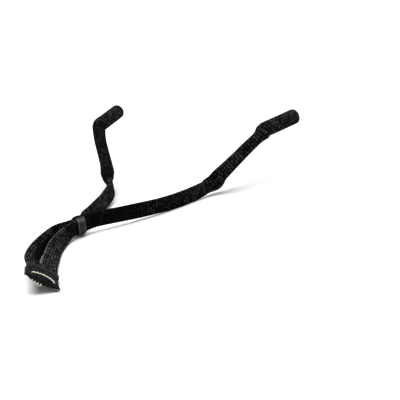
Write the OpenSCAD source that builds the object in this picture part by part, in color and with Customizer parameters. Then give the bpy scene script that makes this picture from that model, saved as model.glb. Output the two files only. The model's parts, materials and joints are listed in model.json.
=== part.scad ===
// Eyeglass retainer strap: two knitted straps joined by a sewn end patch, gathered by a slider ring,
// each ending in a knitted sleeve that is pulled over a temple. Millimetres, +Z up, lying on z = 0.

/* [Strap] */
// Width of the flat knitted strap
strap_w = 9; // [7:0.1:10]
// Thickness of the flat knitted strap
strap_t = 2.4; // [1.8:0.1:3]
// Reach of the tail along X, from the slider back to the patch's folded end
tail_reach = 61; // [50:1:90]
// Reach of the left strap along X, from the slider to its sleeve
left_reach = 47.5; // [40:0.5:90]
// Reach of the right strap along X, from the slider to its sleeve
right_reach = 84; // [60:1:120]
// Room between the two straps where they lie face to face
strap_gap = 0.4; // [0.3:0.05:0.8]
// Share of a strap's width that is left where the slider or the patch presses it together
squeeze = 0.94; // [0.9:0.01:1]

/* [Sleeves] */
// Outer diameter of the left sleeve where it is stretched over a temple
left_sleeve_d = 8.7; // [8:0.1:11]
// Outer diameter of the right sleeve where it is stretched over a temple
right_sleeve_d = 9.1; // [8:0.1:11]
// Outer diameter of each sleeve's empty stretch
empty_sleeve_d = 7.3; // [6.5:0.1:8.5]
// Diameter of the pocket that takes the temple
bore_d = 6; // [4:0.1:6.4]
// Depth of that pocket, from the mouth
bore_depth = 24; // [12:0.5:26]
// Length of each sleeve's straight stretch, from the temple's tip to the mouth
mouth_len = 27; // [27:0.5:40]
// Rounding of the hem at each mouth
hem_r = 0.8; // [0.4:0.1:1]

/* [Neck] */
// Length of the gathered neck at the sewn end of each sleeve
neck_len = 2.4; // [2:0.1:4]
// How far the gathered neck stands proud of the strap all round
neck_proud = 0.6; // [0.5:0.05:1]
// Room around the bending end of each strap inside its sleeve
neck_clear = 0.3; // [0.2:0.05:0.5]

/* [Slider] */
// Length of the slider ring
slider_len = 5; // [4:0.5:9]
// Wall of the slider ring
slider_wall = 0.9; // [0.6:0.1:1.5]
// Room between the slider ring and the straps
slider_clear = 0.3; // [0.25:0.05:0.6]
// Inner corner radius of the slider ring
slider_corner = 2; // [1:0.1:2]
// Height of the slider ring above the floor
slider_lift = 0.7; // [0.1:0.1:2]

/* [End patch] */
// Length of the folded patch along the straps
patch_l = 13; // [10:0.5:18]
// Thickness of the patch's own material at its sides
patch_sheet = 0.6; // [0.5:0.1:1.2]
// How far each face of the patch is crowned in the middle
patch_crown = 0.75; // [0.4:0.05:1.2]
// Room between the patch and the strap ends in it
patch_clear = 0.15; // [0.1:0.05:0.3]
// How far the patch reaches past the straps on each side
patch_edge = 0.6; // [0.3:0.1:2]

/* [Stitching] */
// Thickness of the sewing thread
thread_d = 0.7; // [0.4:0.05:1]
// Length of one stitch
stitch_l = 1.25; // [0.8:0.05:2]
// Gap between two stitches of a row
stitch_gap = 0.55; // [0.4:0.05:1]
// Distance of the stitched row from the patch's folded end
stitch_inset = 3; // [2.8:0.1:5]
// Distance of the stitched row's ends from the patch's sides
stitch_margin = 3; // [2:0.1:5]

/* [Hidden] */

knit_black = [0.05, 0.05, 0.055];
slider_grey = [0.2, 0.2, 0.21];
patch_black = [0.08, 0.08, 0.07];
thread_cream = [0.86, 0.84, 0.66];
touch_gap = 0.02;
cut_past = 1;

// The slider's place in the frame; every route below is measured from it
slider_at = [-41.2, -16.9, 0];
lane = strap_t / 2 + strap_gap / 2;
slider_half_w = lane + strap_t / 2 + slider_clear;
slider_half_h = squeeze * strap_w / 2 + slider_clear;
slider_z = slider_half_h + slider_wall + slider_lift;

// The folded patch lies with one corner on the floor, turned and tilted
drawn_patch_at = [-61, -47.5];
tail_share = tail_reach / -drawn_patch_at[0];
patch_at = tail_share * drawn_patch_at;
patch_yaw = 51;
patch_tilt = 34;
pocket_half_t = strap_t / 2 + patch_clear;
patch_side_half_t = pocket_half_t + patch_sheet;
patch_half_t = patch_side_half_t + patch_crown;
patch_w = 2 * squeeze * strap_w + strap_gap + 2 * patch_edge;
patch_z = patch_w / 2 * sin(patch_tilt) + patch_side_half_t * cos(patch_tilt);
crown_r = (patch_w * patch_w / 4 + patch_crown * patch_crown) / (2 * patch_crown);
patch_lane = squeeze * strap_w / 2 + strap_gap / 2;
strap_end_x = patch_half_t;
along = [cos(patch_yaw), sin(patch_yaw), 0];
across = [-sin(patch_yaw) * cos(patch_tilt), cos(patch_yaw) * cos(patch_tilt), sin(patch_tilt)];

function unit(v) = v / norm(v);
function patch_point(x, y) = [patch_at[0], patch_at[1], patch_z] + x * along + y * across;

// A point of a strap: place, lean from upright, share of the full width. Its height comes from
// the lift of its lower edge above the floor.
function stand(x, y, lift, lean, gather = 1) =
    [x, y, lift + gather * strap_w / 2 * cos(lean) + strap_t / 2 * sin(lean), lean, gather];
function in_patch(x, y, gather = squeeze) = concat(patch_point(x, y), [90 - patch_tilt, gather]);
function at_slider(x, y) = [x, y, slider_z, 0, squeeze];

// How far each strap runs on past the slider and the patch, how far apart the straps come there, and
// the share of its width that a strap takes just past the patch
slider_lead = 4;
lead_spread = 0.6;
patch_lead = 1.5;
left_patch_spread = 1.2;
right_patch_spread = 0.3;
patch_gather = 1.02;
slider_run = slider_len / 2 + slider_lead;

// The straps as they lie, each stretch drawn at one reach and spread out to the reach that is set
right_tail = [
    stand(-44, -30.5, 1, 60, 1.06),
    stand(-35, -20.8, 0.7, 50, 1.04),
    stand(-25.5, -11.4, 0.2, 42, 1.04),
    stand(-16, -5, 0.1, 26, 1.02)
];
right_arm = [
    stand(7, -2.1, 2.5, 0),
    stand(14, -4.4, 2.5, 0),
    stand(24, -8, 2, 0),
    stand(38, -11.8, 1.1, 0),
    stand(52, -14.6, 0.3, 0),
    stand(66, -15.8, 0.1, 0),
    stand(77, -16.2, 0.5, 0),
    stand(84, -16.7, 2.3, 0, 0.92)
];
left_tail = [
    stand(-47.8, -21.8, 4.8, 46, 1.04),
    stand(-36.5, -9.8, 2.3, 32),
    stand(-25, -1.8, 1.3, 16),
    stand(-15, 1.8, 1.9, 5)
];
left_arm = [
    stand(6.5, 4, 2.1, 2),
    stand(10.5, 6.7, 1.6, 5),
    stand(15, 9.1, 1.1, 9),
    stand(25.3, 15.3, 0.4, 18, 0.99),
    stand(34.6, 20.4, 0.7, 26, 0.96),
    stand(42.8, 24.9, 2.4, 22, 0.92),
    stand(46, 27.2, 4.3, 8, 0.86),
    stand(47.5, 30.6, 6.9, 0, 0.78)
];

function spread(rows, share) = [for (r = rows) [share * r[0], share * r[1], r[2], r[3], r[4]]];
function drawn_reach(rows) = rows[len(rows) - 1][0];
function strap_route(side, tail, arm, reach, patch_spread) = concat(
    [in_patch(strap_end_x, side * patch_lane),
     in_patch(patch_l + patch_lead, side * (patch_lane + patch_spread), patch_gather)],
    spread(tail, tail_share),
    [at_slider(-slider_run, side * (lane + lead_spread)),
     at_slider(-slider_len / 2, side * lane),
     at_slider(slider_len / 2, side * lane)],
    spread(arm, reach / drawn_reach(arm)));

right_route = strap_route(-1, right_tail, right_arm, right_reach, right_patch_spread);
left_route = strap_route(1, left_tail, left_arm, left_reach, left_patch_spread);

// Sleeves: each point is measured from its neck and holds place, width and thickness
function neck(route) = let (e = route[len(route) - 1]) [e[0], e[1], e[2]];
function neck_w(route) = route[len(route) - 1][4] * strap_w + 2 * neck_over;
neck_t = strap_t + 2 * neck_proud;

// Each strap ends in a round upright knuckle, and the neck starts clear of it
neck_over = 0.1;
knuckle_proud = 0.3;
knuckle_share = 0.7;
knuckle_r = strap_t / 2 + knuckle_proud;
neck_start = knuckle_r + neck_clear;

// The straight stretch that the temple fills, from its tip to where the mouth's hem starts
mouth_settle = 6;
function mouth_points(tip, azimuth, d) =
    [for (s = [0, mouth_settle, mouth_len - hem_r]) concat(tip + s * outward(azimuth), [d, d])];
function outward(azimuth) = [cos(azimuth), sin(azimuth), 0];

function neck_row(strap_route, aim, rise, flare) =
    concat((neck_start + neck_len) * aim + [0, 0, rise], [neck_w(strap_route) + flare, neck_t]);

// Just past the neck each sleeve is wider, and the right one flatter. At the temple's tip the left one is
// still narrow, and the right one swells.
left_neck_flare = 0;
right_neck_flare = 2.4;
left_flare = [1.4, 0.6];
right_flare = [2.7, -1.3];
right_taper = 1.1;
left_tip_swell = -0.9;
right_tip_swell = 0.5;
left_shoulder = left_sleeve_d + left_tip_swell;
right_shoulder = right_sleeve_d + right_tip_swell;

left_aim = unit([3, 4.2, 0]);
left_rise = 1.5;
left_azimuth = 26;
left_tip = [28.2, 40.3, 20.2];
left_sleeve_route = concat(
    [neck_row(left_route, left_aim, left_rise, left_neck_flare),
     [4.4, 6.6, 3.2, empty_sleeve_d + left_flare[0], empty_sleeve_d + left_flare[1]],
     [8.7, 12.6, 6.2, empty_sleeve_d, empty_sleeve_d],
     [14.1, 21.3, 10.4, empty_sleeve_d, empty_sleeve_d],
     [19.9, 30.5, 14.8, empty_sleeve_d, empty_sleeve_d],
     [25.1, 37.3, 18.3, left_shoulder, left_shoulder]],
    mouth_points(left_tip, left_azimuth, left_sleeve_d));

right_aim = unit([4, -1.5, 0]);
right_rise = 2.1;
right_azimuth = 5;
right_tip = [38.5, -10.1, 24];
right_sleeve_route = concat(
    [neck_row(right_route, right_aim, right_rise, right_neck_flare),
     [6, -2.2, 4, empty_sleeve_d + right_flare[0], empty_sleeve_d + right_flare[1]],
     [11, -3.8, 7.2, empty_sleeve_d + right_taper, empty_sleeve_d],
     [18, -6, 11.9, empty_sleeve_d, empty_sleeve_d],
     [25, -8, 16.5, empty_sleeve_d, empty_sleeve_d],
     [32.4, -10, 20.9, empty_sleeve_d, empty_sleeve_d],
     [35.4, -10.6, 22.8, right_shoulder, right_shoulder]],
    mouth_points(right_tip, right_azimuth, right_sleeve_d));

// A smooth curve through the rows of a route
function bend(a, b, c, d, t) =
    0.5 * (2 * b + (c - a) * t + (2 * a - 5 * b + 4 * c - d) * t * t + (3 * b - a - 3 * c + d) * t * t * t);
function smooth(rows, steps) =
    let (last = len(rows) - 1,
         ends = concat([2 * rows[0] - rows[1]], rows, [2 * rows[last] - rows[last - 1]]))
    concat([for (i = [0:last - 1], k = [0:steps - 1])
        bend(ends[i], ends[i + 1], ends[i + 2], ends[i + 3], k / steps)], [rows[last]]);

function place(row) = [row[0], row[1], row[2]];
function heading(path, i) = unit(place(path[min(i + 1, len(path) - 1)]) - place(path[max(i - 1, 0)]));

// One ring of a swept solid, an oval of the given width and thickness. A fuller oval has a lower power,
// and the ring's corners can be turned on by a share of a side.
function oval(v, power) = sign(v) * pow(abs(v), power);
function ring(at, ahead, lean, w, t, sides, power, turn = 0) =
    let (side = unit(cross([0, 0, 1], ahead)),
         up = cross(ahead, side),
         wide = cos(lean) * up + sin(lean) * side,
         face = cross(wide, ahead))
    [for (k = [0:sides - 1])
        let (angle = 360 * (k + turn) / sides)
        at + w / 2 * oval(cos(angle), power) * wide + t / 2 * oval(sin(angle), power) * face];

strap_sides = 12;
strap_power = 0.75;
sleeve_sides = 16;
sleeve_turn = 0.5;
strap_steps = 2;
sleeve_steps = 3;

// A strap's last ring and a sleeve's first one stand upright, so that the neck can turn. The ring
// before a strap's last one is left out, because a tilted ring so near would cut it.
function level(v) = unit([v[0], v[1], 0]);
function strap_rings(route) =
    let (path = smooth(route, strap_steps), last = len(path) - 1)
    [for (i = [0:last]) if (i != last - 1)
        let (ahead = i == last ? level(heading(path, i)) : heading(path, i))
        ring(place(path[i]), ahead, path[i][3], path[i][4] * strap_w, strap_t, strap_sides, strap_power)];

function neck_ring(strap_route, aim) =
    ring(neck_start * aim, aim, 0, neck_w(strap_route), neck_t, sleeve_sides, 1, sleeve_turn);
function sleeve_rings(route) =
    let (path = smooth(route, sleeve_steps))
    [for (i = [0:len(path) - 1])
        ring(place(path[i]), heading(path, i), 0, path[i][3], path[i][4], sleeve_sides, 1, sleeve_turn)];

// A round of thread binds each neck at this share of its length, on a ring of its own
seam_gap = 0.25;
seam_share = 0.5;
function seam_ring(strap_route, route, aim) =
    (1 - seam_share) * neck_ring(strap_route, aim) + seam_share * sleeve_rings(route)[0];

// The rounded hem that closes a sleeve's mouth, as rings of a quarter circle
function hem_rings(tip, azimuth, d) =
    [for (a = [30, 60, 90])
        ring(tip + (mouth_len - hem_r + hem_r * sin(a)) * outward(azimuth), outward(azimuth), 0,
             d - 2 * hem_r * (1 - cos(a)), d - 2 * hem_r * (1 - cos(a)), sleeve_sides, 1, sleeve_turn)];

// A closed solid through rings of equal size
module skin(rings) {
    n = len(rings[0]);
    last = len(rings) - 1;
    points = [for (r = rings) each r];
    walls = [for (i = [0:last - 1], k = [0:n - 1])
        [i * n + k, i * n + (k + 1) % n, (i + 1) * n + (k + 1) % n, (i + 1) * n + k]];
    start_cap = [for (k = [n - 1:-1:0]) k];
    end_cap = [for (k = [0:n - 1]) last * n + k];
    polyhedron(points, concat(walls, [start_cap, end_cap]), convexity = 10);
}

// A loop of thread that lies on the hoop between two rings
module thread_loop(first, hoop, second) {
    n = len(hoop);
    sides = 6;
    function lengthwise(k) = unit(second[k] - first[k]);
    function outwards(k) = unit(cross(lengthwise(k), hoop[(k + 1) % n] - hoop[(k + n - 1) % n]));
    function around(k, angle) = cos(angle) * outwards(k) + sin(angle) * lengthwise(k);
    rounds = [for (k = [0:n - 1], j = [0:sides - 1])
        hoop[k] + (thread_d / 2 + seam_gap) * outwards(k) + thread_d / 2 * around(k, 360 * j / sides)];
    walls = [for (k = [0:n - 1], j = [0:sides - 1])
        [k * sides + j, ((k + 1) % n) * sides + j,
         ((k + 1) % n) * sides + (j + 1) % sides, k * sides + (j + 1) % sides]];
    polyhedron(rounds, walls, convexity = 10);
}

module strap(route) {
    foot = neck(route);
    color(knit_black) translate(slider_at) union() {
        skin(strap_rings(route));
        translate(foot) cylinder(h = knuckle_share * neck_w(route), r = knuckle_r, center = true, $fn = 48);
    }
}

// The bore is turned about its own axis, so that its facets and the mouth's don't line up
bore_turn = 8;

module sleeve(strap_route, route, aim, tip, azimuth, d) {
    color(knit_black) translate(slider_at + neck(strap_route)) difference() {
        skin(concat([neck_ring(strap_route, aim), seam_ring(strap_route, route, aim)],
                    sleeve_rings(route), hem_rings(tip, azimuth, d)));
        translate(tip) rotate([0, 90, azimuth]) translate([0, 0, mouth_len - bore_depth]) rotate(bore_turn)
            cylinder(h = bore_depth + cut_past, d = bore_d, $fn = 64);
    }
}

module neck_seam(strap_route, route, aim) {
    color(knit_black) translate(slider_at + neck(strap_route))
        thread_loop(neck_ring(strap_route, aim), seam_ring(strap_route, route, aim), sleeve_rings(route)[0]);
}

module rounded_slot(half_w, half_h, r) {
    square([2 * half_w, 2 * (half_h - r)], center = true);
    square([2 * (half_w - r), 2 * half_h], center = true);
    for (x = [-1, 1], y = [-1, 1]) translate([x * (half_w - r), y * (half_h - r)]) circle(r, $fn = 48);
}

module slider() {
    color(slider_grey) translate(slider_at + [0, 0, slider_z]) rotate([90, 0, 90])
        linear_extrude(slider_len, center = true) difference() {
            rounded_slot(slider_half_w + slider_wall, slider_half_h + slider_wall,
                         slider_corner + slider_wall);
            rounded_slot(slider_half_w, slider_half_h, slider_corner);
        }
}

// Places its children in the patch's own frame: x along the straps from the fold, y across, z out
module on_patch() {
    translate(slider_at + [patch_at[0], patch_at[1], patch_z]) rotate([patch_tilt, 0, patch_yaw]) children();
}

module fold_outline(half_t, l) {
    translate([patch_half_t, 0]) circle(half_t, $fn = 48);
    translate([patch_half_t, -half_t]) square([l - patch_half_t, 2 * half_t]);
}

// The patch's crowned faces: its height above the middle plane, and its slope, at a place across it
function crown_z(y) = patch_half_t - crown_r + sqrt(crown_r * crown_r - y * y);
function crown_slope(y) = -asin(y / crown_r);

module crown() {
    rotate([0, 90, 0]) intersection_for (face = [-1, 1])
        translate([face * (crown_r - patch_half_t), 0, 0]) cylinder(h = patch_l, r = crown_r, $fn = 180);
}

module end_patch() {
    color(patch_black) on_patch() difference() {
        intersection() {
            rotate([90, 0, 0]) linear_extrude(patch_w, center = true) fold_outline(patch_half_t, patch_l);
            crown();
        }
        rotate([90, 0, 0]) linear_extrude(patch_w + 2 * cut_past, center = true)
            fold_outline(pocket_half_t, patch_l + cut_past);
    }
}

stitch_pitch = stitch_l + stitch_gap;
stitch_count = floor((patch_w - 2 * stitch_margin + stitch_gap) / stitch_pitch);
thread_rise = thread_d / 2 + touch_gap;

module patch_stitching() {
    color(thread_cream) on_patch()
        for (i = [0:stitch_count - 1], turn = [0, 180]) {
            y = (i - (stitch_count - 1) / 2) * stitch_pitch;
            rotate([turn, 0, 0]) translate([stitch_inset, y, crown_z(y)]) rotate([crown_slope(y), 0, 0])
                translate([0, 0, thread_rise]) rotate([90, 0, 0])
                    cylinder(h = stitch_l, d = thread_d, center = true, $fn = 24);
        }
}

whip_count = 4;
whip_pitch = 1.7;
whip_first = -0.2;
whip_from = 208;
whip_sweep = 52;

module fold_stitching() {
    color(thread_cream) on_patch()
        for (i = [0:whip_count - 1])
            translate([patch_half_t, whip_first + i * whip_pitch, 0]) rotate([90, 0, 0])
                rotate([0, 0, whip_from]) rotate_extrude(angle = whip_sweep, $fn = 48)
                    translate([patch_half_t + thread_rise, 0]) circle(d = thread_d, $fn = 24);
}

module left_strap() { strap(left_route); }
module right_strap() { strap(right_route); }
module left_sleeve() {
    sleeve(left_route, left_sleeve_route, left_aim, left_tip, left_azimuth, left_sleeve_d);
}
module right_sleeve() {
    sleeve(right_route, right_sleeve_route, right_aim, right_tip, right_azimuth, right_sleeve_d);
}
module left_neck_seam() { neck_seam(left_route, left_sleeve_route, left_aim); }
module right_neck_seam() { neck_seam(right_route, right_sleeve_route, right_aim); }

left_strap();
right_strap();
left_sleeve();
right_sleeve();
slider();
end_patch();
patch_stitching();
fold_stitching();
left_neck_seam();
right_neck_seam();
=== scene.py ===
"""Looks of the eyeglass retainer strap: knitted straps and sleeves, slider ring and sewn end patch."""

import json
import math

import bpy
import numpy as np
from mathutils import Matrix, Vector


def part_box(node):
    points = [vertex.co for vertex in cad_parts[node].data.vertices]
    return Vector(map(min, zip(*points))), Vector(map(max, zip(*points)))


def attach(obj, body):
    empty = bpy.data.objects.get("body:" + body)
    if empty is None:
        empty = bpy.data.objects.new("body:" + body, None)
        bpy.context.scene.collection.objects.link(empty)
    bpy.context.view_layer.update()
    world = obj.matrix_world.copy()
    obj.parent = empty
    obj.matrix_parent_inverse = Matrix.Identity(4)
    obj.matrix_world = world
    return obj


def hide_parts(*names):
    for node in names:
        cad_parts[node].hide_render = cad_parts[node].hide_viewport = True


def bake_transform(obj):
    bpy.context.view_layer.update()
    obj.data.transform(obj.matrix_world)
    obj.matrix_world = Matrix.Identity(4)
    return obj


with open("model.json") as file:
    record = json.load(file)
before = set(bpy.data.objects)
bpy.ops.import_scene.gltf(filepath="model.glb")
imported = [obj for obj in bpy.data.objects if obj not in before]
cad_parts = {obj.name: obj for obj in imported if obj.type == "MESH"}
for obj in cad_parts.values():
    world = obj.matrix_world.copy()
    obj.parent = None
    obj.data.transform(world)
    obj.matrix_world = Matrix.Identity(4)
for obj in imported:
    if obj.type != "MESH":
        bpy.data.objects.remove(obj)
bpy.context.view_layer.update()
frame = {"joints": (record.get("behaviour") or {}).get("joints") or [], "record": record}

# Everything below is worked out in millimetres in the part's frame, and goes to Blender in metres
MM = 0.001
IMAGE_SIDE = 400

# Sizes of the knitted straps
STRAP_W = 9
STRAP_T = 2.4
STRAP_GAP = 0.4
STRAP_POWER = 0.75
SQUEEZE = 0.94
LANE = STRAP_T / 2 + STRAP_GAP / 2

# What the frame gives: the slider's place and half sizes, the neck of each sleeve and its mouth
slider_low, slider_high = (np.array(corner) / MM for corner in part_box("slider"))
SLIDER_MID = (slider_low + slider_high) / 2
SLIDER_HALF = (slider_high - slider_low) / 2
SLIDER_AT = np.array([SLIDER_MID[0], SLIDER_MID[1], 0])
SLIDER_LEN = 2 * SLIDER_HALF[0]
NECK = {j["child"]: np.array(j["pos_m"]) / MM for j in frame["joints"] if j["type"] == "hinge"}
MOUTH = {m["name"]: np.array(m["pos_m"]) / MM for m in frame["record"]["mounts"]}
MOUTH_AXIS = {m["name"]: np.array(m["axis"]) for m in frame["record"]["mounts"]}
BORE = {m["name"]: m["dims"] for m in frame["record"]["mounts"]}

# The folded patch, tilted so that its right side lies near the floor
PATCH_AT = np.array([-61, -47.5])
PATCH_YAW = math.radians(51)
PATCH_TILT = math.radians(34)
PATCH_L = 13
PATCH_SHEET = 0.6
PATCH_EDGE = 0.6
PATCH_CROWN = 0.75
PATCH_CLEAR = 0.15
PATCH_SIDE_HALF_T = STRAP_T / 2 + PATCH_CLEAR + PATCH_SHEET
PATCH_HALF_T = PATCH_SIDE_HALF_T + PATCH_CROWN
PATCH_W = 2 * SQUEEZE * STRAP_W + STRAP_GAP + 2 * PATCH_EDGE
PATCH_Z = PATCH_W / 2 * math.sin(PATCH_TILT) + PATCH_SIDE_HALF_T * math.cos(PATCH_TILT)
PATCH_LANE = SQUEEZE * STRAP_W / 2 + STRAP_GAP / 2
PATCH_ORIGIN = SLIDER_AT + np.array([PATCH_AT[0], PATCH_AT[1], PATCH_Z])
PATCH_TURN = np.array(Matrix.Rotation(PATCH_YAW, 3, "Z") @ Matrix.Rotation(PATCH_TILT, 3, "X"))

# Gauge of the knit, and how finely it is modelled
COURSE = 1.9
STRAP_WALES = 14
SLEEVE_WALES = 18
WALE_STEPS = 10
COURSE_STEPS = 9
KNIT_DEPTH = 0.24
KNIT_SINK = 0.6
LEG_SLANT = 0.7
LEG_INNER = 0.03
LEG_OUTER = 0.7
KNIT_SEED = 11
TONE_ROWS = 97
TONE_SPREAD = 0.5
CROWN_POWER = 1.6
LOOP_DIP = 0.15

# Slow drift of the courses: size in courses, waves round the tube, courses to a wave along it
COURSE_DRIFTS = [(0.12, 1, 23), (0.08, 2, -9)]

# How finely lines and ovals are worked out
ROUTE_STEPS = 24
COARSE_STEP = 1.0
LINE_STEPS = 12
OVAL_POINTS = 361


# Vectors and curves
def unit(v):
    """Vectors scaled to length 1, along the last axis."""
    v = np.asarray(v, float)
    return v / np.maximum(np.linalg.norm(v, axis=-1, keepdims=True), 1e-12)


def smooth(rows, steps):
    """A smooth curve through rows, with its ends mirrored."""
    rows = np.asarray(rows, float)
    ends = np.vstack([2 * rows[0] - rows[1], rows, 2 * rows[-1] - rows[-2]])
    t = (np.arange(steps) / steps)[:, None]
    parts = []
    for a, b, c, d in zip(ends, ends[1:], ends[2:], ends[3:]):
        square = (2 * a - 5 * b + 4 * c - d) * t**2
        cube = (3 * b - a - 3 * c + d) * t**3
        parts.append(0.5 * (2 * b + (c - a) * t + square + cube))
    return np.vstack(parts + [rows[-1:]])


def run_of(rows):
    """How far along a line each of its rows lies."""
    steps = np.linalg.norm(np.diff(rows[:, :3], axis=0), axis=1)
    return np.concatenate([[0], np.cumsum(steps)])


def even(rows, spacing):
    """rows at even steps of about that spacing."""
    run = run_of(rows)
    at = np.linspace(0, run[-1], max(2, round(run[-1] / spacing) + 1))
    return np.stack([np.interp(at, run, column) for column in rows.T], 1)


def relaxed(rows, passes):
    """rows with their bends evened out, and both ends kept."""
    for _ in range(passes):
        rows[1:-1] = rows[1:-1] / 2 + (rows[:-2] + rows[2:]) / 4
    return rows


def fabric_line(rows, spacing, passes=6):
    """The middle line of a strap or sleeve, finely spaced, through the rows of its route."""
    coarse = relaxed(even(smooth(rows, ROUTE_STEPS), COARSE_STEP), passes)
    return even(smooth(coarse, LINE_STEPS), spacing)


# Routes of the two straps, measured from the slider: place, lean from upright, share of the full width
def stand(x, y, lift, lean, gather=1.0):
    """A point whose height comes from the lift of the strap's lower edge above the floor."""
    a = math.radians(lean)
    return (x, y, lift + gather * STRAP_W / 2 * math.cos(a) + STRAP_T / 2 * math.sin(a), lean, gather)


def in_patch(x, y, gather=SQUEEZE):
    """A point of a strap inside the folded patch."""
    place = PATCH_ORIGIN - SLIDER_AT + PATCH_TURN @ np.array([x, y, 0])
    return (*place, 90 - math.degrees(PATCH_TILT), gather)


def at_slider(x, y):
    return (x, y, SLIDER_MID[2], 0, SQUEEZE)


# How the straps part beside the slider, and how the left (1) and right (-1) one leave the patch
SLIDER_LEAD = 4
LEAD_SPREAD = 0.6
PATCH_LEAD = 1.5
PATCH_SPREAD = {1: 1.0, -1: 0.3}
PATCH_GATHER = 0.88
SLIDER_RUN = SLIDER_LEN / 2 + SLIDER_LEAD

RIGHT_TAIL = [
    stand(-44, -30.5, 1, 60, 1.06),
    stand(-35, -20.8, 0.7, 50, 1.04),
    stand(-25.5, -11.4, 0.2, 42, 1.04),
    stand(-16, -5, 0.1, 26, 1.02),
]
RIGHT_ARM = [
    stand(7, -2.1, 2.5, 0),
    stand(14, -4.4, 2.5, 0),
    stand(24, -8, 2.0, 0),
    stand(38, -11.8, 1.1, 0),
    stand(52, -14.6, 0.3, 0),
    stand(66, -15.8, 0.1, 0),
    stand(77, -16.2, 0.5, 0),
    stand(84, -16.7, 2.3, 0, 0.92),
]
LEFT_TAIL = [
    in_patch(PATCH_L + 5, PATCH_LANE + 1.3, 1.03),
    stand(-47.8, -21.8, 4.8, 46, 1.04),
    stand(-36.5, -9.8, 2.3, 32, 1.0),
    stand(-25, -1.8, 1.3, 16),
    stand(-15, 1.8, 1.9, 5),
]
LEFT_ARM = [
    stand(6.5, 4.0, 2.1, 2),
    stand(10.5, 6.7, 1.6, 5),
    stand(15, 9.1, 1.1, 9),
    stand(25.3, 15.3, 0.4, 18, 0.99),
    stand(34.6, 20.4, 0.7, 26, 0.96),
    stand(42.8, 24.9, 2.4, 22, 0.92),
    stand(46, 27.2, 4.3, 8, 0.86),
    stand(47.5, 30.6, 6.9, 0, 0.78),
]


def strap_route(side, tail, arm):
    """A whole strap, from inside the patch through the slider to its neck."""
    ends = [
        in_patch(PATCH_HALF_T, side * PATCH_LANE),
        in_patch(PATCH_L + PATCH_LEAD, side * (PATCH_LANE + PATCH_SPREAD[side]), PATCH_GATHER),
    ]
    gathered = [
        at_slider(-SLIDER_RUN, side * (LANE + LEAD_SPREAD)),
        at_slider(-SLIDER_LEN / 2, side * LANE),
        at_slider(SLIDER_LEN / 2, side * LANE),
    ]
    return np.array(ends + tail + gathered + arm, float)


# Routes of the two sleeves, measured from the neck: place, width and thickness
LEFT_SLEEVE = [
    (-0.8, -1.1, -0.1, 7.4, 3.4),
    (0.6, 1.0, 0.1, 7.0, 3.8),
    (1.4, 2.7, 0.7, 7.4, 4.2),
    (2.5, 4.3, 1.7, 8.8, 7.0),
    (4.4, 6.6, 3.2, 8.7, 7.9),
    (8.7, 12.6, 6.2, 7.3, 7.2),
    (14.1, 21.3, 10.4, 7.2, 7.1),
    (19.9, 30.5, 14.8, 7.3, 7.2),
    (25.1, 37.3, 18.3, 7.8, 7.8),
]
RIGHT_SLEEVE = [
    (-3.6, 0.25, -0.7, 9.1, 3.3),
    (-1.2, 0.1, -0.1, 9.3, 3.5),
    (1.6, -0.5, 0.3, 9.9, 3.9),
    (3.9, -1.4, 1.4, 10.6, 4.6),
    (6.0, -2.2, 3.9, 9.6, 6.0),
    (11, -3.8, 7.2, 8.4, 7.2),
    (18, -6, 11.9, 7.5, 7.4),
    (25, -8, 16.5, 7.3, 7.3),
    (32.4, -10, 20.9, 7.2, 7.2),
    (35.4, -10.6, 22.8, 9.6, 9.6),
]

# The straight end of each sleeve: diameter, length, and the stretch in which it settles
LEFT_SLEEVE_D = 8.7
RIGHT_SLEEVE_D = 9.1
MOUTH_LEN = 27
MOUTH_SETTLE = 6


# Swept surfaces
def frames(line):
    """Directions across and out of a line's broad face, from its lean in the fourth column."""
    ahead = unit(np.gradient(line[:, :3], axis=0))
    side = unit(np.cross([0, 0, 1], ahead))
    up = np.cross(ahead, side)
    lean = np.radians(line[:, 3:4])
    wide = np.cos(lean) * up + np.sin(lean) * side
    return wide, np.cross(wide, ahead)


def rings(line, w, t, power, around):
    """Ovals swept along a line, evenly stepped round each ring. A fuller oval has a lower power."""
    wide, face = frames(line)
    angle = np.linspace(0, 2 * np.pi, OVAL_POINTS)
    across = np.sign(np.cos(angle)) * np.abs(np.cos(angle)) ** power
    deep = np.sign(np.sin(angle)) * np.abs(np.sin(angle)) ** power
    grid = np.empty((len(line), around, 3))
    for i in range(len(line)):
        a = w[i] / 2 * across
        b = t[i] / 2 * deep
        run = np.concatenate([[0], np.cumsum(np.hypot(np.diff(a), np.diff(b)))])
        at = np.arange(around) / around * run[-1]
        sideways = np.outer(np.interp(at, run, a), wide[i])
        outward = np.outer(np.interp(at, run, b), face[i])
        grid[i] = line[i, :3] + sideways + outward
    return grid


def normals(grid):
    """Outward unit normals of a tube's rings."""
    along = np.gradient(grid, axis=0)
    around = np.roll(grid, -1, axis=1) - np.roll(grid, 1, axis=1)
    return unit(np.cross(along, around))


def hump(x, fullness=2.2, edge=0.6):
    """A rounded hump from 0 at x = 0 through 1 at a half to 0 at x = 1."""
    return (1 - np.abs(2 * x - 1) ** fullness) ** edge


def stitch_crown(u, v, wales):
    """How high the yarn stands at wale u and course v of a tube, and its stitch's tone."""
    drift = 0
    for size, waves, long in COURSE_DRIFTS:
        drift = drift + size * np.sin(2 * np.pi * (waves * u / wales + v / long))
    m = np.abs(2 * np.mod(u, 1) - 1)
    along = v + drift - LEG_SLANT * m
    leg = hump(np.clip((m - LEG_INNER) / (LEG_OUTER - LEG_INNER), 0, 1))
    loop = hump(np.mod(along, 1))
    tones = np.random.default_rng(KNIT_SEED).random((TONE_ROWS, wales))
    tone = tones[np.floor(along).astype(int) % TONE_ROWS, np.floor(u).astype(int) % wales]
    return leg * (LOOP_DIP + (1 - LOOP_DIP) * loop), tone


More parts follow.
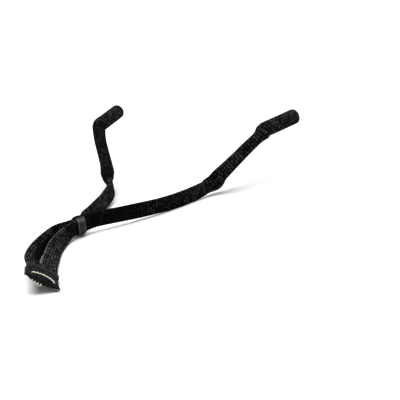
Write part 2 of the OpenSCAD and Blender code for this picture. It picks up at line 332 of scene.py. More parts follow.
def knitted(grid, wales):
    """The grid with its stitches raised, each point's brightness (painted shade between the stitches,
    with a random tone for each stitch), and each ring's course.
    """
    count, around, _ = grid.shape
    u = np.broadcast_to(np.arange(around) / around * wales, (count, around))
    v = run_of(grid.mean(axis=1)) / COURSE
    v = np.broadcast_to(v[:, None], (count, around))
    crown, tone = stitch_crown(u, v, wales)
    raised = grid + normals(grid) * (KNIT_DEPTH * (crown - KNIT_SINK))[..., None]
    return raised, crown**CROWN_POWER * (1 - TONE_SPREAD + TONE_SPREAD * tone), v[:, 0]


# Meshes
BAKE_MARGIN = 0.01
BAKE_SPAN = 0.98
CAP_SPOT = 0.005


def link(name, points, faces):
    """A smooth mesh object from points in millimetres."""
    mesh = bpy.data.meshes.new(name)
    mesh.from_pydata((np.asarray(points) * MM).tolist(), [], faces)
    mesh.shade_smooth()
    thing = bpy.data.objects.new(name, mesh)
    bpy.context.scene.collection.objects.link(thing)
    return thing


def set_values(thing, name, values):
    """A number for each point of the mesh, which its material reads."""
    attribute = thing.data.attributes.new(name, "FLOAT", "POINT")
    attribute.data.foreach_set("value", np.asarray(values, np.float32).ravel())


def set_map(thing, name, corners):
    """A UV map from each face corner's place."""
    layer = thing.data.uv_layers.new(name=name)
    layer.data.foreach_set("uv", np.asarray(corners, np.float32).ravel())


def tube(name, grid, wales, course, crown):
    """A closed tube through rings of points, with a map in stitches and one that lays it out flat."""
    count, around, _ = grid.shape
    i, k = np.meshgrid(np.arange(count - 1), np.arange(around), indexing="ij")
    i, k = i.ravel(), k.ravel()
    rows = np.stack([i, i + 1, i + 1, i], 1)
    columns = np.stack([k, k, k + 1, k + 1], 1)
    quads = rows * around + columns % around
    first, last = count * around, count * around + 1
    ks = np.arange(around)
    start_cap = np.stack([np.full(around, first), ks, (ks + 1) % around], 1)
    end_base = (count - 1) * around
    end_cap = np.stack([np.full(around, last), end_base + (ks + 1) % around, end_base + ks], 1)
    points = np.vstack([grid.reshape(-1, 3), grid[0].mean(axis=0), grid[-1].mean(axis=0)])
    thing = link(name, points, quads.tolist() + start_cap.tolist() + end_cap.tolist())
    set_values(thing, "crown", np.concatenate([crown.ravel(), [0, 0]]))
    cap_corners = len(start_cap) * 3 + len(end_cap) * 3
    stitches = np.stack([columns / around * wales, course[rows]], -1).reshape(-1, 2)
    set_map(thing, "Knit", np.vstack([stitches, np.zeros((cap_corners, 2))]))
    flat = np.stack([columns / around, rows / (count - 1)], -1).reshape(-1, 2)
    flat = flat * BAKE_SPAN + BAKE_MARGIN
    set_map(thing, "OFBake", np.vstack([flat, np.full((cap_corners, 2), CAP_SPOT)]))
    return thing


# Materials
def new_material(name):
    made = bpy.data.materials.new(name)
    made.use_nodes = True
    return made, made.node_tree.nodes["Principled BSDF"]


def add(made, kind, inputs=None, **settings):
    """A node of a material's tree, with its settings and plain inputs."""
    node = made.node_tree.nodes.new("ShaderNode" + kind)
    for key, value in settings.items():
        setattr(node, key, value)
    for key, value in (inputs or {}).items():
        node.inputs[key].default_value = value
    return node


def join(made, output, socket):
    made.node_tree.links.new(output, socket)


def ramp(made, source, stops):
    """A colour ramp over a value, from (place, colour) stops."""
    node = add(made, "ValToRGB")
    elements = node.color_ramp.elements
    while len(elements) < len(stops):
        elements.new(0.5)
    for element, (place, colour) in zip(elements, stops):
        element.position = place
        element.color = (*colour, 1)
    join(made, source, node.inputs["Fac"])
    return node.outputs["Color"]


def spread_value(made, source, low, high):
    """A value from 0 to 1 mapped onto low to high."""
    node = add(made, "MapRange", {"To Min": low, "To Max": high})
    join(made, source, node.inputs["Value"])
    return node.outputs["Result"]


def bump(made, shader, height, strength, distance):
    node = add(made, "Bump", {"Strength": strength, "Distance": distance})
    join(made, height, node.inputs["Height"])
    join(made, node.outputs["Normal"], shader.inputs["Normal"])


def blended(made, a, b, share):
    """a and b mixed by a plain share of b."""
    node = add(made, "Mix", {"Factor": share}, data_type="FLOAT")
    join(made, a, node.inputs["A"])
    join(made, b, node.inputs["B"])
    return node.outputs["Result"]


def knit_material():
    """Black elastic yarn with fine fibres along it and a soft sheen; its stitch crowns are lighter and
    the hollows between them carry painted shade.
    """
    made, shader = new_material("knit_black")
    crown = add(made, "Attribute", attribute_name="crown").outputs["Fac"]
    place = add(made, "UVMap", uv_map="Knit").outputs["UV"]
    stretch = add(made, "Mapping", {"Scale": (14, 3, 1)})
    join(made, place, stretch.inputs["Vector"])
    fibres = add(made, "TexNoise", {"Scale": 1.0, "Detail": 4.0, "Roughness": 0.6})
    join(made, stretch.outputs["Vector"], fibres.inputs["Vector"])
    patches = add(made, "TexNoise", {"Scale": 0.55, "Detail": 3.0})
    join(made, place, patches.inputs["Vector"])
    # Painted shade: the colour follows how high the yarn stands, near black in the hollows between the
    # stitches
    lit = blended(made, crown, fibres.outputs["Fac"], share=0.22)
    lit = blended(made, lit, patches.outputs["Fac"], share=0.1)
    colour = ramp(made, lit, [
        (0.18, (0.0004, 0.0004, 0.0005)),
        (0.42, (0.006, 0.006, 0.0063)),
        (0.75, (0.15, 0.15, 0.153)),
    ])
    join(made, colour, shader.inputs["Base Color"])
    join(made, spread_value(made, fibres.outputs["Fac"], low=0.62, high=0.9), shader.inputs["Roughness"])
    shader.inputs["Specular IOR Level"].default_value = 0.025
    shader.inputs["Sheen Weight"].default_value = 0.01
    shader.inputs["Sheen Roughness"].default_value = 0.4
    shader.inputs["Sheen Tint"].default_value = (0.55, 0.56, 0.6, 1)
    bump(made, shader, fibres.outputs["Fac"], strength=0.5, distance=0.00012)
    return made


def slider_material():
    """Dark satin plastic, paler along its rims, with a painted reflection on its sides and a painted
    highlight on its upper corners.
    """
    made, shader = new_material("slider_satin")
    edge = add(made, "Attribute", attribute_name="edge").outputs["Fac"]
    place = add(made, "TexCoord").outputs["Object"]
    mottle = add(made, "TexNoise", {"Scale": 900.0, "Detail": 3.0})
    join(made, place, mottle.inputs["Vector"])
    grain = add(made, "TexNoise", {"Scale": 5200.0, "Detail": 2.0})
    join(made, place, grain.inputs["Vector"])
    # The ring's colour carries its rim wear, a painted reflection on its sides and a painted highlight on
    # its upper corners
    wear_and_painted_light = blended(made, edge, mottle.outputs["Fac"], share=0.35)
    colour = ramp(made, wear_and_painted_light, [
        (0.18, (0.0015, 0.0015, 0.0016)),
        (0.4, (0.018, 0.018, 0.0187)),
        (0.75, (0.13, 0.13, 0.134)),
    ])
    join(made, colour, shader.inputs["Base Color"])
    join(made, spread_value(made, mottle.outputs["Fac"], low=0.25, high=0.5), shader.inputs["Roughness"])
    shader.inputs["Specular IOR Level"].default_value = 0.015
    bump(made, shader, grain.outputs["Fac"], strength=0.35, distance=0.00008)
    return made


def leather_material():
    """Dark fine-grained leather, paler at its cut edges."""
    made, shader = new_material("patch_leather")
    edge = add(made, "Attribute", attribute_name="edge").outputs["Fac"]
    place = add(made, "TexCoord").outputs["Object"]
    grain = add(made, "TexVoronoi", {"Scale": 2100.0, "Randomness": 1.0}, feature="DISTANCE_TO_EDGE")
    join(made, place, grain.inputs["Vector"])
    mottle = add(made, "TexNoise", {"Scale": 1000.0, "Detail": 4.0})
    join(made, place, mottle.inputs["Vector"])
    tone = blended(made, mottle.outputs["Fac"], edge, share=0.5)
    colour = ramp(made, tone, [
        (0.17, (0.0006, 0.0006, 0.0008)),
        (0.26, (0.008, 0.0083, 0.0098)),
        (0.36, (0.032, 0.033, 0.036)),
        (0.75, (0.06, 0.057, 0.022)),
    ])
    join(made, colour, shader.inputs["Base Color"])
    join(made, spread_value(made, mottle.outputs["Fac"], low=0.42, high=0.66), shader.inputs["Roughness"])
    shader.inputs["Specular IOR Level"].default_value = 0.03
    folds = blended(made, grain.outputs["Distance"], mottle.outputs["Fac"], share=0.35)
    bump(made, shader, folds, strength=0.45, distance=0.00016)
    return made


def thread_material(name, low, high, sheen, gloss):
    """Twisted sewing thread, with painted shade in the groove between its plies."""
    made, shader = new_material(name)
    crown = add(made, "Attribute", attribute_name="crown").outputs["Fac"]
    place = add(made, "TexCoord").outputs["Object"]
    fibres = add(made, "TexNoise", {"Scale": 6000.0, "Detail": 3.0})
    join(made, place, fibres.inputs["Vector"])
    # Painted shade: the colour follows the ply crowns, darker in the groove between the plies
    lit = blended(made, crown, fibres.outputs["Fac"], share=0.35)
    join(made, ramp(made, lit, [(0.2, low), (0.7, high)]), shader.inputs["Base Color"])
    join(made, spread_value(made, fibres.outputs["Fac"], low=0.55, high=0.8), shader.inputs["Roughness"])
    shader.inputs["Sheen Weight"].default_value = sheen
    shader.inputs["Specular IOR Level"].default_value = gloss
    bump(made, shader, fibres.outputs["Fac"], strength=0.4, distance=0.00006)
    return made


def floor_material():
    """Pale seamless paper."""
    made, shader = new_material("floor_paper")
    place = add(made, "TexCoord").outputs["Object"]
    tooth = add(made, "TexNoise", {"Scale": 160.0, "Detail": 3.0})
    join(made, place, tooth.inputs["Vector"])
    colour = ramp(made, tooth.outputs["Fac"], [(0.3, (0.9, 0.9, 0.9)), (0.7, (0.92, 0.92, 0.92))])
    join(made, colour, shader.inputs["Base Color"])
    shader.inputs["Roughness"].default_value = 0.8
    shader.inputs["Specular IOR Level"].default_value = 0.1
    return made


KNIT = knit_material()
SLIDER_SATIN = slider_material()
LEATHER = leather_material()
CREAM_THREAD = thread_material(
    "thread_cream", (0.45, 0.42, 0.24), (0.88, 0.86, 0.68), sheen=0.1, gloss=0.3)
BLACK_THREAD = thread_material(
    "thread_black", (0.0008, 0.0008, 0.0009), (0.006, 0.006, 0.0064), sheen=0.0, gloss=0.03)


def finish_piece(thing, material, slot, *nodes):
    """A piece's material, and the CAD nodes that it stands for, which are hidden; the slot is not used.
    """
    thing.data.materials.append(material)
    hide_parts(*nodes)


# Camera at the photograph's view, worked out from where it shows the slider
LENS_PIXELS = 1500
SENSOR = 36
VIEW_PITCH = math.radians(20.5)
VIEW_ROLL = math.radians(-6.5)
VIEW_TURN = math.radians(40)
VIEW_DISTANCE = 833
SLIDER_PIXEL = (79, 226.5)
SLIDER_PIXEL_Z = 5.5


def make_camera():
    look = np.array([0, math.cos(VIEW_PITCH), -math.sin(VIEW_PITCH)])
    level = np.array([1.0, 0, 0])
    rise = np.cross(level, look)
    right = math.cos(VIEW_ROLL) * level + math.sin(VIEW_ROLL) * rise
    up = math.cos(VIEW_ROLL) * rise - math.sin(VIEW_ROLL) * level
    turn = np.array(Matrix.Rotation(-VIEW_TURN, 3, "Z"))
    look, right, up = turn @ look, turn @ right, turn @ up
    off_x = (SLIDER_PIXEL[0] - IMAGE_SIDE / 2) / LENS_PIXELS
    off_y = (SLIDER_PIXEL[1] - IMAGE_SIDE / 2) / LENS_PIXELS
    ray = look + off_x * right - off_y * up
    spot = SLIDER_AT + np.array([0, 0, SLIDER_PIXEL_Z]) - ray * VIEW_DISTANCE
    data = bpy.data.cameras.new("camera")
    data.sensor_width = SENSOR
    data.lens = SENSOR * LENS_PIXELS / IMAGE_SIDE
    camera = bpy.data.objects.new("camera", data)
    place = Matrix.Identity(4)
    for row in range(3):
        place[row][0], place[row][1], place[row][2] = right[row], up[row], -look[row]
        place[row][3] = spot[row] * MM
    camera.matrix_world = place
    bpy.context.scene.collection.objects.link(camera)
    bpy.context.scene.camera = camera


# Straps: each is a tail piece and an arm piece that meet inside the slider
KNIT_STEP = COURSE / COURSE_STEPS
LEVEL_SLACK = 1
GATHER_SWELL = 2.5
WIDTH_SWAY = 0.3
PRESSED_END = 0.45

# Brightness of the knit along each strap, and painted light across its tail from the lower edge (-1) to
# the upper (1): painted shade on the left tail's lower edge beside the right strand, a painted highlight
# on the right tail's upper edge
TAIL_TONE = 0.93
RING_TONE = {"left": 0.85, "right": 0.55}
ARM_TONE = {"left": 0.9, "right": 0.86}
FADE_RINGS = 120
BAND_ACROSS = [-1, -0.25, 0.35, 0.8, 1]
BAND_PAINTED_LIGHT = {"left": [0.2, 0.3, 1, 1, 1], "right": [1, 1, 1, 1, 1.5]}

# Slight swelling and thinning along a strap: share of its thickness, millimetres to a radian, phase
SWAYS = [(0.02, 5.3, 0), (0.015, 2.9, 1)]


def strap_pieces(side_name, route):
    """The tail and the arm of one strap, with the lines that they follow."""
    line = fabric_line(route, KNIT_STEP)
    off_ring = np.abs(line[:, 2] - SLIDER_MID[2]) > LEVEL_SLACK
    split = int(np.argmin(np.where(off_ring, np.inf, np.abs(line[:, 0]))))
    line[:, :3] += SLIDER_AT
    run = run_of(line)
    sway = sum((share * np.sin(run / long + phase) for share, long, phase in SWAYS), 1)
    w = STRAP_W * line[:, 4] * (1 + WIDTH_SWAY * (sway - 1))
    pressed = np.interp(run, [0, PATCH_L - PATCH_HALF_T], [PRESSED_END, 1])
    t = STRAP_T * sway * pressed * (1 + GATHER_SWELL * np.clip(SQUEEZE - line[:, 4], 0, 1))
    grid = rings(line, w, t, STRAP_POWER, STRAP_WALES * WALE_STEPS)
    grid, crown, course = knitted(grid, STRAP_WALES)
    place = np.arange(len(line))
    fade = [split - FADE_RINGS, split, split + FADE_RINGS, len(line)]
    tones = [TAIL_TONE, RING_TONE[side_name], RING_TONE[side_name], ARM_TONE[side_name]]
    crown *= np.interp(place, fade, tones)[:, None]
    # Painted shade on the left tail's lower edge beside the right strand, and a painted highlight on the
    # right tail's upper edge
    across = np.cos(2 * np.pi * np.arange(grid.shape[1]) / grid.shape[1])
    band_at = [FADE_RINGS // 2, FADE_RINGS, split, split + FADE_RINGS // 4]
    painted_band = np.interp(place, band_at, [0, 1, 1, 0])
    crown *= 1 + painted_band[:, None] * (np.interp(across, BAND_ACROSS, BAND_PAINTED_LIGHT[side_name]) - 1)
    pieces = []
    for name, part in (("tail", slice(0, split + 1)), ("arm", slice(split, None))):
        piece = tube(f"{side_name}_{name}_knit", grid[part], STRAP_WALES, course[part], crown[part])
        finish_piece(piece, KNIT, "knit", f"{side_name}_strap")
        pieces.append((piece, line[part, :3]))
    return pieces


def make_strap(side_name, route):
    (tail, tail_line), (arm, arm_line) = strap_pieces(side_name, route)
    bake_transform(tail)
    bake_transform(arm)


# Sleeves: gathered and bound at the neck, open and hemmed at the mouth
PLEATS = 9
PLEAT_SKEW = 0.8
PLEAT_DEPTH = 0.32
PLEAT_REACH = 5.5
SEAM_AT = {"left": 4.4, "right": 6.8}
BINDING_RINGS = 2
WALL_CLEAR = 0.06
POCKET_STEP = KNIT_STEP * 2
POCKET_END = 3
POCKET_END_STEPS = 10
HEM_STEPS = 12

# Brightness of the knit along a sleeve, and how far from the mouth it changes
SLEEVE_TONE = {"left": 0.62, "right": 0.8}
MOUTH_TONE = 0.87
MOUTH_FADE = [20, 29]


def sleeve_line(side_name, rows, d):
    """The middle line of a sleeve from its neck to its mouth: place, no lean, width and thickness."""
    neck = NECK[side_name + "_sleeve"]
    mouth = MOUTH[side_name + "_sleeve_mouth"]
    axis = MOUTH_AXIS[side_name + "_sleeve_mouth"]
    rows = [(*(neck + row[:3]), 0, *row[3:]) for row in rows]
    hem = (d / 2 - BORE[side_name + "_sleeve_mouth"]["r_mm"] - WALL_CLEAR) / 2
    stations = (0, MOUTH_SETTLE, MOUTH_LEN / 2, MOUTH_LEN - hem)
    rows += [(*(mouth + (s - MOUTH_LEN) * axis), 0, d, d) for s in stations]
    return fabric_line(np.array(rows, float), KNIT_STEP, passes=2), hem


def mouth_rings(side_name, hem, d, start):
    """The hem rolled over the mouth, the pocket's wall and its closed end, after the last outer ring."""
    mouth = MOUTH[side_name + "_sleeve_mouth"]
    axis = MOUTH_AXIS[side_name + "_sleeve_mouth"]
    depth = BORE[side_name + "_sleeve_mouth"]["length_mm"]
    out = unit(start - start.mean(axis=0))
    middle_r = d / 2 - hem
    made = []
    for a in np.linspace(0, math.pi, HEM_STEPS + 1)[1:]:
        made.append(mouth + (hem * math.sin(a) - hem) * axis + (middle_r + hem * math.cos(a)) * out)
    wall_r = middle_r - hem
    for s in np.arange(hem + POCKET_STEP, depth, POCKET_STEP):
        made.append(mouth - s * axis + wall_r * out)
    for a in np.linspace(0, math.pi / 2, POCKET_END_STEPS)[:-1]:
        made.append(mouth - (depth + POCKET_END * math.sin(a)) * axis + wall_r * math.cos(a) * out)
    return np.array(made)


def make_sleeve(side_name, rows, d):
    """One sleeve and the thread that binds its neck."""
    body = side_name + "_sleeve"
    line, hem = sleeve_line(side_name, rows, d)
    around = SLEEVE_WALES * WALE_STEPS
    outer = rings(line, line[:, 4], line[:, 5], 1, around)
    run = run_of(line)
    angle = np.linspace(0, 2 * np.pi, around, endpoint=False)
    gathers = PLEAT_DEPTH * np.exp(-((run - SEAM_AT[side_name]) / PLEAT_REACH) ** 2)
    pleats = np.cos(PLEATS * angle + PLEAT_SKEW * np.sin(2 * angle))
    outer = outer + normals(outer) * (gathers[:, None] * pleats)[..., None]
    seam = int(np.argmin(np.abs(run - SEAM_AT[side_name])))
    binding = outer[seam - BINDING_RINGS : seam + BINDING_RINGS + 1].copy()
    grid = np.concatenate([outer, mouth_rings(side_name, hem, d, outer[-1])])
    grid, crown, course = knitted(grid, SLEEVE_WALES)
    from_mouth = np.concatenate([run[-1] - run, np.zeros(len(grid) - len(run))])
    crown *= np.interp(from_mouth, MOUTH_FADE, [MOUTH_TONE, SLEEVE_TONE[side_name]])[:, None]
    piece = tube(side_name + "_sleeve_knit", grid, SLEEVE_WALES, course, crown)
    finish_piece(piece, KNIT, "knit", body)
    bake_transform(piece)
    thread = neck_thread(side_name, binding)
    finish_piece(thread, BLACK_THREAD, "seam_thread", side_name + "_neck_seam")
    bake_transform(thread)


# Thread: a twisted tube along a line, closed or with both ends in the fabric
THREAD_AROUND = 14
PLIES = 2
PLY_GROOVE = 0.2


def twisted(line, out, radius, pitch, closed=False):
    """Rings of a plied thread along a line whose outward direction is given, and each point's crown."""
    if closed:
        ahead = unit(np.roll(line, -1, axis=0) - np.roll(line, 1, axis=0))
    else:
        ahead = unit(np.gradient(line, axis=0))
    side = unit(np.cross(ahead, out))
    out = np.cross(side, ahead)
    angle = np.linspace(0, 2 * np.pi, THREAD_AROUND, endpoint=False)
    crown = 0.5 + 0.5 * np.cos(PLIES * angle[None] - 2 * np.pi * run_of(line)[:, None] / pitch)
    r = radius * (1 - PLY_GROOVE + PLY_GROOVE * crown)
    spokes = np.cos(angle)[None, :, None] * out[:, None] + np.sin(angle)[None, :, None] * side[:, None]
    return line[:, None] + r[..., None] * spokes, crown


def thread_faces(count, base, closed):
    """Faces of one thread's rings, whose points start at base."""
    faces = []
    last = count if closed else count - 1
    for i in range(last):
        a, b = base + i * THREAD_AROUND, base + (i + 1) % count * THREAD_AROUND
        for k in range(THREAD_AROUND):
            n = (k + 1) % THREAD_AROUND
            faces.append((a + k, a + n, b + n, b + k))
    if not closed:
        end = base + last * THREAD_AROUND
        faces.append(tuple(base + k for k in reversed(range(THREAD_AROUND))))
        faces.append(tuple(end + k for k in range(THREAD_AROUND)))
    return faces


def thread_piece(name, threads, closed=False):
    """One piece from several threads, each given as its rings and crowns."""
    points, faces, crowns = [], [], []
    base = 0
    for grid, crown in threads:
        points.append(grid.reshape(-1, 3))
        crowns.append(crown.ravel())
        faces += thread_faces(len(grid), base, closed)
        base += grid.shape[0] * THREAD_AROUND
    thing = link(name, np.vstack(points), faces)
    set_values(thing, "crown", np.concatenate(crowns))
    return thing


NECK_THREAD_R = 0.22
NECK_THREAD_PITCH = 0.9
NECK_THREAD_APART = 0.5
NECK_THREAD_WAVES = 4


def neck_thread(side_name, binding):
    """Two tight rounds of black thread that bind the gathered neck."""
    middle = len(binding) // 2
    out = normals(binding)[middle]
    waves = np.fft.rfft(binding[middle], axis=0)
    waves[NECK_THREAD_WAVES:] = 0
    line = np.fft.irfft(waves, len(out), axis=0) + NECK_THREAD_R * out
    ahead = unit(binding[-1].mean(axis=0) - binding[0].mean(axis=0))
    rounds = []
    for share in (-0.5, 0.5):
        shifted = line + share * NECK_THREAD_APART * ahead
        rounds.append(twisted(shifted, out, NECK_THREAD_R, NECK_THREAD_PITCH, closed=True))
    return thread_piece(side_name + "_neck_thread", rounds, closed=True)


# Slider: a rounded ring, slightly barrelled, with soft rims
SLIDER_WALL = 0.9
SLIDER_CORNER = 2
SLIDER_RIM = 0.28
SLIDER_BARREL = 0.3
# How much paler the rims are with wear, then the painted reflection on the sides and the painted
# highlight on the upper corners
SLIDER_RIM_WEAR = 0.25
SLIDER_SIDE_PAINTED_REFLECTION = 0.39
SLIDER_CORNER_PAINTED_HIGHLIGHT = 0.4


def slider_outline(points_per_corner=14, points_per_side=8):
    """The ring's inner outline in y and z, with its outward directions."""
    half_w = SLIDER_HALF[1] - SLIDER_WALL
    half_h = SLIDER_HALF[2] - SLIDER_WALL
    points, out = [], []
    for sy, sz, first in ((1, 1, 0), (-1, 1, 90), (-1, -1, 180), (1, -1, 270)):
        for a in np.radians(np.linspace(first, first + 90, points_per_corner)):
            direction = np.array([math.cos(a), math.sin(a)])
            centre = np.array([sy * (half_w - SLIDER_CORNER), sz * (half_h - SLIDER_CORNER)])
            points.append(centre + SLIDER_CORNER * direction)
            out.append(direction)
        corner_end = points[-1]
        flat = 2 * (half_h - SLIDER_CORNER) if first in (90, 270) else 2 * (half_w - SLIDER_CORNER)
        step = np.array([-out[-1][1], out[-1][0]])
        for share in np.linspace(0, 1, points_per_side + 2)[1:-1]:
            points.append(corner_end + share * flat * step)
            out.append(out[-1])
    return np.array(points), np.array(out)


def wall_profile(rim_steps=6, long_steps=10):
    """The wall's section, along the ring and outward, with how near each point is to a rim."""
    half_l = SLIDER_LEN / 2
    places = []
    for along, outward, first in ((1, 1, 90), (1, 0, 0), (-1, 0, -90), (-1, 1, -180)):
        level = SLIDER_WALL - SLIDER_RIM if outward else SLIDER_RIM
        centre = np.array([along * (half_l - SLIDER_RIM), level])
        for a in np.radians(np.linspace(first, first - 90, rim_steps)):
            places.append((*(centre + SLIDER_RIM * np.array([math.cos(a), math.sin(a)])), 1.0))
        if first in (0, -180):
            start = np.array(places[-1][:2])
            for share in np.linspace(0, 1, long_steps + 2)[1:-1]:
                places.append((start[0] - along * share * 2 * (half_l - SLIDER_RIM), start[1], 0.0))
    places = np.array(places)
    barrel = SLIDER_BARREL * (places[:, 0] / half_l) ** 2
    places[:, 1] -= np.where(places[:, 1] > SLIDER_WALL / 2, barrel, 0)
    return places


def make_slider():
    outline, out = slider_outline()
    profile = wall_profile()
    n, m = len(outline), len(profile)
    points = np.empty((n, m, 3))
    points[..., 0] = profile[None, :, 0]
    points[..., 1:] = outline[:, None] + profile[None, :, 1:2] * out[:, None]
    faces = []
    for i in range(n):
        for k in range(m):
            next_i, next_k = (i + 1) % n, (k + 1) % m
            faces.append((i * m + k, i * m + next_k, next_i * m + next_k, next_i * m + k))
    thing = link("slider_ring", points.reshape(-1, 3) + SLIDER_MID, faces)
    # Painted light on the ring: a painted reflection of the bright floor on its broad sides, so top and
    # bottom stay darker, and a painted highlight on its upper corners; the rims are paler with wear
    corner = np.clip(2 * np.abs(out[:, 0]) * out[:, 1], 0, 1)
    side = SLIDER_SIDE_PAINTED_REFLECTION * out[:, 0] ** 2 + SLIDER_CORNER_PAINTED_HIGHLIGHT * corner
    set_values(thing, "edge", side[:, None] + SLIDER_RIM_WEAR * profile[None, :, 2])
    finish_piece(thing, SLIDER_SATIN, "slider", "slider")
    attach(thing, "slider")


# End patch: a folded, crowned piece of leather, pinched flat at its sides
PATCH_PINCH = 0.65
PATCH_MOUTH_SIDE = 1.25
LENS_SHARE = 0.85
STITCH_INSET = 3
STITCH_L = 1.25
STITCH_GAP = 0.55
STITCH_COUNT = 7
STITCH_PITCH = STITCH_L + STITCH_GAP
FACE_STEPS = 44
FOLD_STEPS = 20
ACROSS_STEPS = 120
LENS_POWER = 0.8
MOUTH_POWER = 6
MOUTH_SWELL = 0.15
STITCH_PULL = 0.22
PULL_REACH = 0.55
PULL_FADE = 1.2
FOLD_X = PATCH_HALF_T / 2
LEAST_HALF = 0.06
SHEET_SLACK = 0.05
SOFT_EDGE = 0.15

# How the patch's sides flare: the right corner at the fold, the right side and the left side
CORNER_REACH = 2
CORNER_POWER = 5
SIDE_TUCK = 0.55
SIDE_REACH = 0.4
FLARE_FROM = 0.75

# Cut edges that show paler: depth in from the free edge, and share of the half width at the sides
CUT_DEPTH = 0.35
CUT_FROM = 0.97
CUT_SHARE = 0.03


def patch_half(x, y):
    """Half the patch's thickness: a lens near the fold, fuller where the straps go in."""
    share = np.clip(np.abs(y) / (PATCH_W / 2), 0, 1)
    bulge = (1 - np.clip(share / LENS_SHARE, 0, 1) ** 2) ** LENS_POWER
    lens = PATCH_PINCH + (PATCH_HALF_T - PATCH_PINCH) * bulge
    fill = (1 - share**MOUTH_POWER) ** 0.5
    mouth = PATCH_MOUTH_SIDE + (PATCH_SIDE_HALF_T + MOUTH_SWELL - PATCH_MOUTH_SIDE) * fill
    toward_mouth = np.clip((x - STITCH_INSET) / (PATCH_L - STITCH_INSET), 0, 1)
    blend = toward_mouth * toward_mouth * (3 - 2 * toward_mouth)
    pull = STITCH_PULL * np.exp(-((x - STITCH_INSET) / PULL_REACH) ** 2)
    return lens * (1 - blend) + mouth * blend - pull * np.clip(PULL_FADE - share, 0, 1)


def fold_path(y, inset):
    """The folded sheet's section at y, from the upper free edge round the fold to the lower one."""
    top = np.linspace(PATCH_L, PATCH_HALF_T, FACE_STEPS)
    turn = np.linspace(np.pi / 2, 3 * np.pi / 2, FOLD_STEPS)[1:-1]
    x = np.concatenate([top, PATCH_HALF_T + (PATCH_HALF_T - inset) * np.cos(turn), top[::-1]])
    level = np.concatenate([np.ones(FACE_STEPS), np.sin(turn), -np.ones(FACE_STEPS)])
    half = patch_half(np.maximum(x, FOLD_X), y)
    z = level * np.maximum(half - inset, LEAST_HALF)
    return np.stack([x, z], 1)


def patch_point(local):
    """Points of the patch's own frame placed in the part's frame."""
    return PATCH_ORIGIN + np.asarray(local) @ PATCH_TURN.T


def patch_section(y):
    """The sheet's closed loop at y in the patch's own frame, and how near each point is to a cut edge."""
    side = abs(y) / (PATCH_W / 2)
    outer = fold_path(y, 0.0)
    inner = fold_path(y, PATCH_SHEET - SHEET_SLACK)
    loop = np.vstack([outer, inner[::-1]])
    near_fold = np.clip(1 - loop[:, 0] / PATCH_L, 0, 1) ** CORNER_POWER
    outer_share = np.clip((side - FLARE_FROM) / (1 - FLARE_FROM), 0, 1) ** 2
    corner, reach = (CORNER_REACH, -SIDE_TUCK) if y < 0 else (0, SIDE_REACH)
    flare = outer_share * (corner * near_fold + reach)
    free = np.exp(-((PATCH_L - loop[:, 0]) / CUT_DEPTH) ** 2)
    edge = np.maximum(free, np.clip((side - CUT_FROM) / CUT_SHARE, 0, 1))
    return np.stack([loop[:, 0], y + np.sign(y) * flare, loop[:, 1]], 1), edge


def patch_faces(n, m):
    """Faces of n sections of m points, with both sides of the sheet closed."""
    faces = []
    for i in range(n - 1):
        for k in range(m):
            next_k = (k + 1) % m
            faces.append((i * m + k, (i + 1) * m + k, (i + 1) * m + next_k, i * m + next_k))
    for i, flip in ((0, False), (n - 1, True)):
        for k in range(m // 2 - 1):
            quad = (i * m + k, i * m + k + 1, i * m + m - 2 - k, i * m + m - 1 - k)
            faces.append(quad[::-1] if flip else quad)
    return faces


def make_patch():
    across = np.linspace(-PATCH_W / 2, PATCH_W / 2, ACROSS_STEPS)
    sections, edges = (np.array(rows) for rows in zip(*(patch_section(y) for y in across)))
    points = patch_point(sections.reshape(-1, 3))
    thing = link("end_patch_leather", points, patch_faces(*sections.shape[:2]))
    set_values(thing, "edge", edges)
    bevel = thing.modifiers.new("soft_edges", "BEVEL")
    bevel.width = SOFT_EDGE * MM
    bevel.segments = 2
    bevel.limit_method = "ANGLE"
    finish_piece(thing, LEATHER, "patch", "end_patch")
    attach(thing, "strap")


# Cream stitches through the patch, and whip stitches over its fold
STITCH_R = 0.37
STITCH_SIT = 0.8
STITCH_SINK = 0.6
STITCH_TUCK = 0.22
STITCH_SKEW = 0.12
STITCH_STEPS = 22
STITCH_TWIST = 1.1
STITCH_DIP = 2.4
WHIP_COUNT = 4
WHIP_PITCH = 1.7
WHIP_FIRST = -0.2
WHIP_FROM = math.radians(208)
WHIP_SWEEP = math.radians(52)
WHIP_SKEW = 0.35


def stitch_rise(share):
    """How high a stitch stands over the leather, from its middle (0) to its ends (-1 and 1)."""
    return STITCH_R * STITCH_SIT - STITCH_SINK * np.abs(share) ** 4


def make_stitches():
    threads = []
    for face in (1, -1):
        for i in range(STITCH_COUNT):
            middle = (i - (STITCH_COUNT - 1) / 2) * STITCH_PITCH
            share = np.linspace(-1, 1, STITCH_STEPS)
            y = middle + share * (STITCH_L / 2 + STITCH_TUCK)
            dip = STITCH_DIP * np.clip(-y / (PATCH_W / 2), 0, 1) ** 2 if face > 0 else 0
            x = STITCH_INSET + STITCH_SKEW * share - dip
            z = face * (patch_half(x, y) + stitch_rise(share))
            line = patch_point(np.stack([x, y, z], 1))
            out = np.broadcast_to(PATCH_TURN[:, 2] * face, line.shape)
            threads.append(twisted(line, out, STITCH_R, STITCH_TWIST))
    thing = thread_piece("patch_stitch_thread", threads)
    finish_piece(thing, CREAM_THREAD, "thread", "patch_stitching")
    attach(thing, "strap")


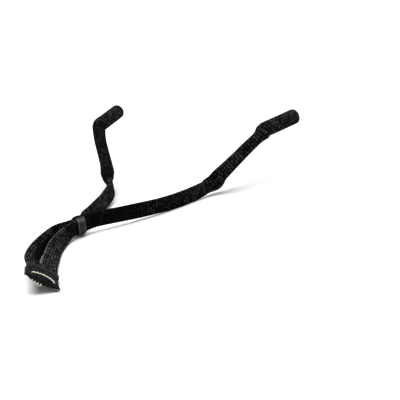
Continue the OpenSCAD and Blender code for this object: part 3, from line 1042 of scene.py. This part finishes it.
def make_whip():
    threads = []
    for i in range(WHIP_COUNT):
        y = WHIP_FIRST + i * WHIP_PITCH
        share = np.linspace(0, 1, STITCH_STEPS)
        a = WHIP_FROM + WHIP_SWEEP * share
        rise = stitch_rise(2 * share - 1)
        half = patch_half(np.full_like(a, PATCH_HALF_T), y)
        x = PATCH_HALF_T + (PATCH_HALF_T + rise) * np.cos(a)
        z = (half + rise) * np.sin(a)
        line = np.stack([x, y + WHIP_SKEW * (share - 0.5), z], 1)
        out = np.stack([np.cos(a), np.zeros_like(a), np.sin(a)], 1) @ PATCH_TURN.T
        threads.append(twisted(patch_point(line), out, STITCH_R, STITCH_TWIST))
    thing = thread_piece("fold_whip_thread", threads)
    finish_piece(thing, CREAM_THREAD, "thread", "fold_stitching")
    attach(thing, "strap")


# Floor, in metres, and light
FLOOR_SIDE = 8.0
SUN_FROM = (0.05, 0.12, 1)
SUN_STRENGTH = 4.4
SUN_SOFTNESS = math.radians(55)
WORLD_STRENGTH = 0.3


def make_stage():
    mesh = bpy.data.meshes.new("floor")
    h = FLOOR_SIDE / 2
    mesh.from_pydata([(-h, -h, 0), (h, -h, 0), (h, h, 0), (-h, h, 0)], [], [(0, 1, 2, 3)])
    floor = bpy.data.objects.new("floor", mesh)
    mesh.materials.append(floor_material())
    bpy.context.scene.collection.objects.link(floor)
    world = bpy.data.worlds.new("studio")
    world.use_nodes = True
    world.node_tree.nodes["Background"].inputs["Color"].default_value = (1, 1, 1, 1)
    world.node_tree.nodes["Background"].inputs["Strength"].default_value = WORLD_STRENGTH
    bpy.context.scene.world = world
    sun = bpy.data.lights.new("soft_sun", "SUN")
    sun.energy = SUN_STRENGTH
    sun.angle = SUN_SOFTNESS
    lamp = bpy.data.objects.new("soft_sun", sun)
    lamp.rotation_euler = Vector(SUN_FROM).to_track_quat("Z", "Y").to_euler()
    bpy.context.scene.collection.objects.link(lamp)
    bpy.context.scene.view_settings.view_transform = "Standard"


make_camera()
make_strap("right", strap_route(-1, RIGHT_TAIL, RIGHT_ARM))
make_strap("left", strap_route(1, LEFT_TAIL, LEFT_ARM))
make_sleeve("left", LEFT_SLEEVE, LEFT_SLEEVE_D)
make_sleeve("right", RIGHT_SLEEVE, RIGHT_SLEEVE_D)
make_slider()
make_patch()
make_stitches()
make_whip()
make_stage()
